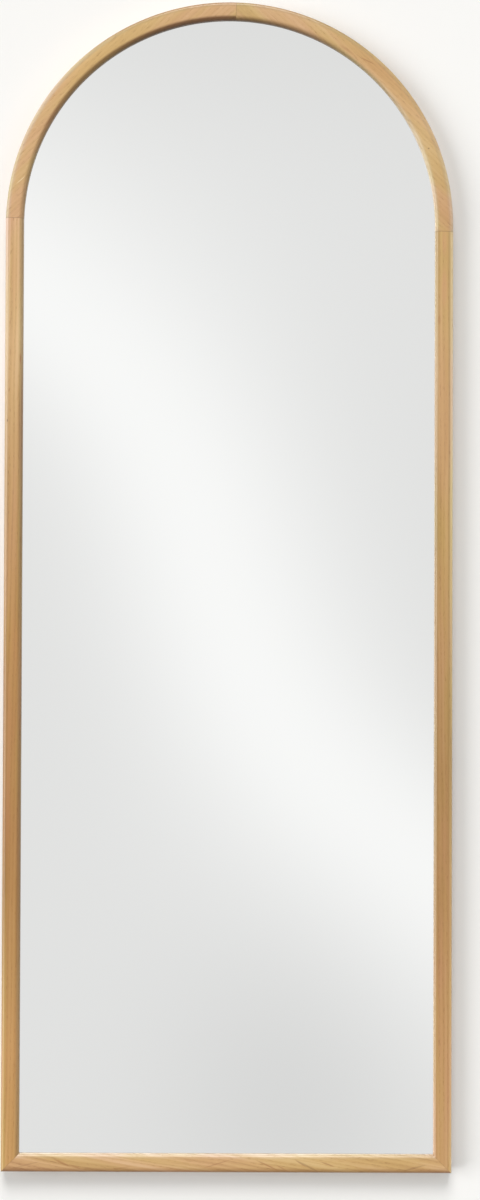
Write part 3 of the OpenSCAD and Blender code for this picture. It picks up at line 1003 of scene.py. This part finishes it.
def ringPath(pivot):  # x across, y down from the eye, then tilted a little towards the wall
    bar, bend, leg, half = (ringLook[key] for key in ("barHalf", "bend", "leg", "half"))
    turns = arcPoints(bar, bend, bend, -90, 0, curveSteps)
    turns += arcPoints(0, leg, half, 0, 180, ringLook["loopSteps"])
    turns += arcPoints(-bar, bend, bend, 180, 270, curveSteps)
    tilt = math.radians(ringLook["tilt"])
    out, down = math.sin(tilt), math.cos(tilt)
    return [(pivot.x + x, pivot.y + far * out, pivot.z - far * down) for x, far, _ in turns]


def makeRing(side, tree):
    body = side + "_ring"
    values = {"Wire Radius": ringLook["wireRadius"], "Sides": ringLook["sides"],
              "Metal": finishes["zincWire"]}
    path = loopMesh(body, ringPath(Vector(joints[body]["pos_m"])))
    ring = growPiece(side + "_hanger_ring_wire", path, tree, values)
    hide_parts(side + "_hanger_ring")
    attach(ring, body)


def makeStrap(side):  # the CAD strap with its edges broken
    name = side + "_hanger_strap"
    mesh = mergedCopy(name)

    def flatten(shell):
        limit = math.radians(strapLook["flatBelow"])
        bmesh.ops.dissolve_limit(shell, angle_limit=limit, verts=shell.verts, edges=shell.edges)

    editMesh(mesh, mesh, flatten)
    strap = addObject(name + "_rolled", mesh)
    edge = strap.modifiers.new("edge", "BEVEL")
    edge.width, edge.segments = strapLook["edge"], strapLook["segments"]
    edge.limit_method, edge.angle_limit = "ANGLE", math.radians(strapLook["brokenAbove"])
    strap.data = settledMesh(strap)
    strap.modifiers.clear()
    strap.data.materials.clear()
    strap.data.materials.append(finishes["zincPlate"])
    smoothMesh(strap.data)
    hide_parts(name)
    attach(strap, "mirror")


def makeHangers():
    tree = wireTree()
    for side in ("left", "right"):
        makeRing(side, tree)
        makeStrap(side)
    print("hangers made")


makeHangers()


# Camera: fitted to the frame's outline in the photograph, which is 480 by 1200 pixels

cameraFit = {
    "x": 17.3 * mm,
    "aboveFoot": 780.4 * mm,
    "distance": 3000 * mm,
    "pitch": 0.931,
    "roll": 0.211,
    "focalPixels": 2065.0,
    "photoHeight": 1200,
    "sensor": 36.0,
}


def placeCamera():
    data = bpy.data.cameras.new("camera")
    data.sensor_width = cameraFit["sensor"]
    data.lens = cameraFit["focalPixels"] / cameraFit["photoHeight"] * cameraFit["sensor"]
    camera = addObject("camera", data)
    bpy.context.scene.camera = camera
    pitch, roll = math.radians(cameraFit["pitch"]), math.radians(cameraFit["roll"])
    forward = Vector((0, math.cos(pitch), math.sin(pitch)))
    level = Vector((1, 0, 0))
    up = level.cross(forward)
    right = level * math.cos(roll) + up * math.sin(roll)
    top = right.cross(forward)
    turn = Matrix((right, top, -forward)).transposed().to_4x4()
    place = Vector((cameraFit["x"], frontY - cameraFit["distance"], bottomZ + cameraFit["aboveFoot"]))
    camera.matrix_world = Matrix.Translation(place) @ turn


placeCamera()
print("camera placed")


# Stage: a pale wall that shows from the front only, and a pale floor

stageLook = {
    "wall": (0.94, 0.923, 0.905, 1),
    "floor": (0.62, 0.62, 0.61, 1),
    "floorRoughness": 0.9,
    "wallGrowth": 14.0,
    "holeInset": 22 * mm,
    "rimOutset": 1 * mm,
    "wallGap": 0.3 * mm,
    "archSteps": 48,
    "floorDrop": 260 * mm,
    "floorHalf": 9.0,
}


def wallMaterial():
    material, tree = materialTree("wallPaint")
    inputs = {
        0: signal(tree, "ShaderNodeNewGeometry", output="Backfacing"),
        1: signal(tree, "ShaderNodeBsdfDiffuse", {"Color": stageLook["wall"]}),
        2: signal(tree, "ShaderNodeBsdfTransparent"),
    }
    node(tree, "ShaderNodeOutputMaterial", {"Surface": signal(tree, "ShaderNodeMixShader", inputs)})
    return material


def archLoop(inset, growth=1.0):  # the frame's outline drawn on the wall
    half, low, steps = outerHalf - inset, bottomZ + inset, stageLook["archSteps"]
    angles = [math.pi * i / steps for i in range(steps + 1)]
    crown = [(half * math.cos(a), springZ + half * math.sin(a)) for a in angles]
    loop = [(half, low), *crown, (-half, low)]
    middle = (bottomZ + springZ) / 2
    return [(x * growth, stageLook["wallGap"], middle + (z - middle) * growth) for x, z in loop]


def makeWall(name, inner, outer, material):
    count = len(inner)
    faces = [(i, (i + 1) % count, count + (i + 1) % count, count + i) for i in range(count)]
    mesh = plainMesh(name, inner + outer, [], faces)
    if mesh.polygons[0].normal.y > 0:  # it has to face the room
        mesh.flip_normals()
    mesh.materials.append(material)
    wall = addObject(name, mesh)
    return wall


def makeStage():
    material = wallMaterial()
    edge = archLoop(-stageLook["rimOutset"])
    makeWall("wall", edge, archLoop(-stageLook["rimOutset"], stageLook["wallGrowth"]), material)
    rim = makeWall("wallRim", archLoop(stageLook["holeInset"]), edge, material)
    rim.visible_shadow = False  # so that lamps behind the wall reach the frame's back

    size, z = stageLook["floorHalf"], bottomZ - stageLook["floorDrop"]
    corners = [(x * size, y * size, z) for x, y in ((-1, -1), (1, -1), (1, 1), (-1, 1))]
    mesh = plainMesh("floor", corners, [], [(0, 1, 2, 3)])
    material, tree = materialTree("floorPaint")
    finishMaterial(tree, stageLook["floor"], stageLook["floorRoughness"])
    mesh.materials.append(material)
    floor = addObject("floor", mesh)
    floor.visible_glossy = floor.visible_diffuse = floor.visible_shadow = False  # seen, but lights nothing
    print("stage made")


makeStage()


# Light: soft daylight from the left and above, weaker from the right, a frontal fill, lamps for the back

lightSetup = {
    "ambient": 0.115,
    "ambientColour": (0.975, 1.06, 0.995, 1),
    "overhead": 0.115,
    "background": 0.93,
    "seenColour": (1, 1, 0.995, 1),
    "lampDistance": 5,
}

lamps = {  # toward the lamp from the mirror, how wide it looks in degrees, its share of the wall's light
    "left": {"toward": (-1.35, -1.0, 0.05), "angle": 44, "share": 0.35, "glossy": True},
    "above": {"toward": (-0.05, -1.0, 1.28), "angle": 30, "share": 0.38, "glossy": True},
    "right": {"toward": (1.0, -1.0, 0.3), "angle": 40, "share": 0.08, "glossy": True},
    "fill": {"toward": (0.0, -1.0, 0.12), "angle": 12, "share": 0.09, "glossy": False},
    "backKey": {"toward": (0.9, 1.0, 0.9), "angle": 30, "share": 0.45, "glossy": True},
    "backFill": {"toward": (-0.7, 1.0, 0.3), "angle": 40, "share": 0.30, "glossy": False},
}

reflection = {  # the soft band that the glass shows, across and down the view that it mirrors
    "base": 0.753,
    "band": 0.181,
    "bandWidths": (1.138, 1.314),
    "bend": 0.0417,
    "slope": 0.3395,
    "start": -0.137,
    "scale": 20.65,
    "across": 0.15,
    "down": 0.637,
    "shade": 0.0825,
    "shadeAt": (0.726, 5.196),
    "shadeWidth": (1.362, 1.859),
    "topShade": 0.047,
    "topAt": -6.255,
    "topWidth": 1.732,
    "leastAhead": 0.15,
}


def bell(value, width):  # 1 in the middle, fading to 0
    ratio = value / width
    return calc("EXPONENT", ratio * ratio * -1)


def mirroredLevel(direction):  # how bright the room is that the glass shows
    dx, dy, dz = partsOf(direction)
    ahead = calc("MAXIMUM", dy * -1, reflection["leastAhead"])
    scale, bend, slope = (reflection[key] for key in ("scale", "bend", "slope"))
    across = dx / ahead * scale + reflection["across"]
    down = dz / ahead * -scale + reflection["down"]
    square = down * down
    middle = down * (square * bend + slope) + reflection["start"]
    lean = square * (3 * bend) + slope
    off = (across - middle) / calc("SQRT", lean * lean + 1)
    low, high = reflection["bandWidths"]
    band = bell(off, calc("GREATER_THAN", off, 0.0) * (high - low) + low)
    x, y = reflection["shadeAt"]
    wide, tall = reflection["shadeWidth"]
    shade = bell(across - x, wide) * bell(down - y, tall)
    top = bell(down - reflection["topAt"], reflection["topWidth"])
    level = band * reflection["band"] + reflection["base"]
    level = level - shade * reflection["shade"] - top * reflection["topShade"]
    return level / mirrorLook["silver"][0]


def makeWorld():
    world = bpy.data.worlds.new("studio")
    bpy.context.scene.world = world
    world.use_nodes = True
    tree = world.node_tree
    tree.nodes.clear()
    direction = signal(tree, "ShaderNodeTexCoord", output="Generated")
    path = node(tree, "ShaderNodeLightPath").outputs
    rays = ("Is Camera Ray", "Is Glossy Ray", "Is Transmission Ray", "Diffuse Depth")
    camera, glossy, through, depth = (Signal(path[name]) for name in rays)
    shiny = calc("MAXIMUM", glossy, through) * calc("LESS_THAN", depth, 0.5)
    around = partsOf(direction)[2] * lightSetup["overhead"] + lightSetup["ambient"]
    inputs = {"Factor": shiny, 2: around, 3: mirroredLevel(direction)}
    strength = signal(tree, "ShaderNodeMix", inputs)
    strength = signal(tree, "ShaderNodeMix", {"Factor": camera, 2: strength, 3: lightSetup["background"]})
    seen = calc("MAXIMUM", camera, shiny)
    colour = mixColours(seen, lightSetup["ambientColour"], lightSetup["seenColour"])
    background = signal(tree, "ShaderNodeBackground", {"Color": colour, "Strength": strength})
    node(tree, "ShaderNodeOutputWorld", {"Surface": background})


def makeLamps():
    for name, lamp in lamps.items():
        data = bpy.data.lights.new(name, "SUN")
        toward = Vector(lamp["toward"]).normalized()
        data.angle = math.radians(lamp["angle"])
        data.energy = lamp["share"] * math.pi / abs(toward.y)
        light = addObject(name, data)
        light.rotation_euler = toward.to_track_quat("Z", "Y").to_euler()
        light.location = toward * lightSetup["lampDistance"]
        light.visible_glossy = lamp["glossy"]


makeWorld()
makeLamps()
bpy.context.scene.view_settings.view_transform = "Standard"
print("light set")
